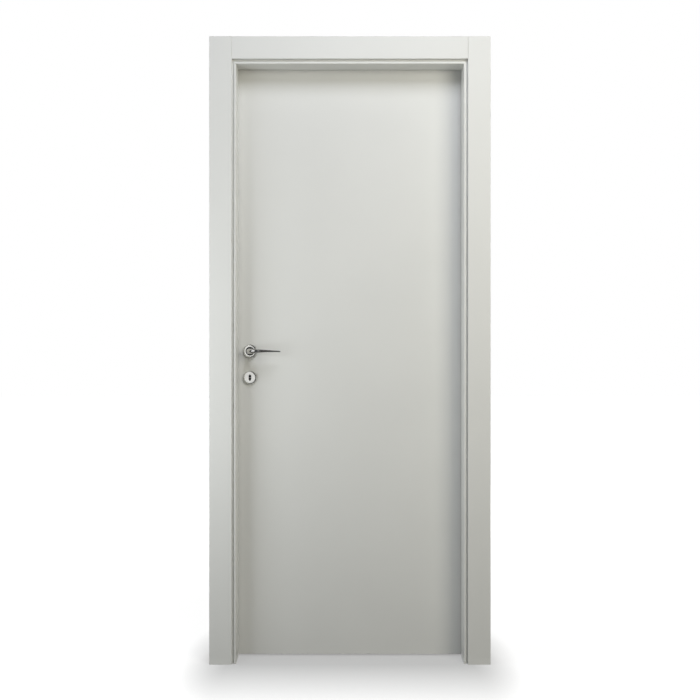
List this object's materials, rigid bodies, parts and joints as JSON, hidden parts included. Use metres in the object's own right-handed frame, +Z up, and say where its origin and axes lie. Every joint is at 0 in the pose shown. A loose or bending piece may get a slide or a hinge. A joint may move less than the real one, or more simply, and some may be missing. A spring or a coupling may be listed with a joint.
{
  "type": "interior door",
  "caption": "Flush off-white interior door set: lipped leaf on barrel hinges in a mitred wrap-round frame with flat casings, chrome lever handles and key plates.",
  "frame": {"origin": "foot of the hinge jamb's wall-side face, at mid wall", "axes": "+X out of the hinge jamb into the wall, +Y to the rear, where the leaf opens, +Z up"},
  "size_m": [0.966, 0.1767, 2.103],
  "materials": {
    "frame_lacquer": "satin lacquer",
    "leaf_lacquer": "satin lacquer",
    "core_board": "raw fibreboard",
    "core_timber": "sawn",
    "seal_rubber": "matt",
    "polished_chrome": "polished",
    "satin_chrome": "satin",
    "satin_nickel": "satin",
    "lock_steel": "zinc plated"
  },
  "bodies": {
    "frame": {"lock_jamb": "frame_lacquer", "hinge_jamb": "frame_lacquer", "head_jamb": "frame_lacquer", "front_lock_casing": "frame_lacquer", "front_hinge_casing": "frame_lacquer", "front_head_casing": "frame_lacquer", "rear_lock_casing": "frame_lacquer", "rear_hinge_casing": "frame_lacquer", "rear_head_casing": "frame_lacquer", "front_lock_tongue": "core_board", "front_hinge_tongue": "core_board", "front_head_tongue": "core_board", "rear_lock_tongue": "core_board", "rear_hinge_tongue": "core_board", "rear_head_tongue": "core_board", "lock_seal": "seal_rubber", "hinge_seal": "seal_rubber", "head_seal": "seal_rubber", "strike_plate": "satin_nickel", "frame_knuckle_low": "satin_nickel", "frame_knuckle_middle": "satin_nickel", "frame_knuckle_top": "satin_nickel"},
    "leaf": {"leaf_front_skin": "leaf_lacquer", "leaf_rear_skin": "leaf_lacquer", "leaf_lock_stile": "leaf_lacquer", "leaf_hinge_stile": "leaf_lacquer", "leaf_top_rail": "leaf_lacquer", "leaf_bottom_rail": "core_timber", "leaf_lock_block": "core_timber", "lock_case": "lock_steel", "lock_faceplate": "satin_nickel", "dead_bolt": "satin_nickel", "key_hub": "lock_steel", "front_rose": "satin_chrome", "rear_rose": "satin_chrome", "front_key_plate": "satin_chrome", "rear_key_plate": "satin_chrome", "leaf_knuckle_low": "satin_nickel", "leaf_knuckle_middle": "satin_nickel", "leaf_knuckle_top": "satin_nickel"},
    "handle": {"front_lever": "polished_chrome", "rear_lever": "polished_chrome", "handle_spindle": "lock_steel", "lock_follower": "lock_steel"},
    "latch": {"latch_bolt": "satin_nickel"}
  },
  "joints": [
    {"name": "leaf_hinge", "type": "hinge", "parent": "frame", "child": "leaf", "pos_m": [-0.0135, 0.069, 0], "axis": [0, 0, -1], "range_deg": [0, 170]},
    {"name": "lever_turn", "type": "hinge", "parent": "leaf", "child": "handle", "pos_m": [-0.762, 0.04, 1.041], "axis": [0, 1, 0], "range_deg": [0, 45], "stiffness_Nm_per_rad": 1.2, "springref_deg": -28.65},
    {"name": "latch_slide", "type": "slide", "parent": "leaf", "child": "latch", "axis": [1, 0, 0], "range_m": [0, 0.0116]}
  ],
  "couplings": [
    {"joint": "latch_slide", "follows": "lever_turn", "m_per_rad": 0.01464}
  ]
}
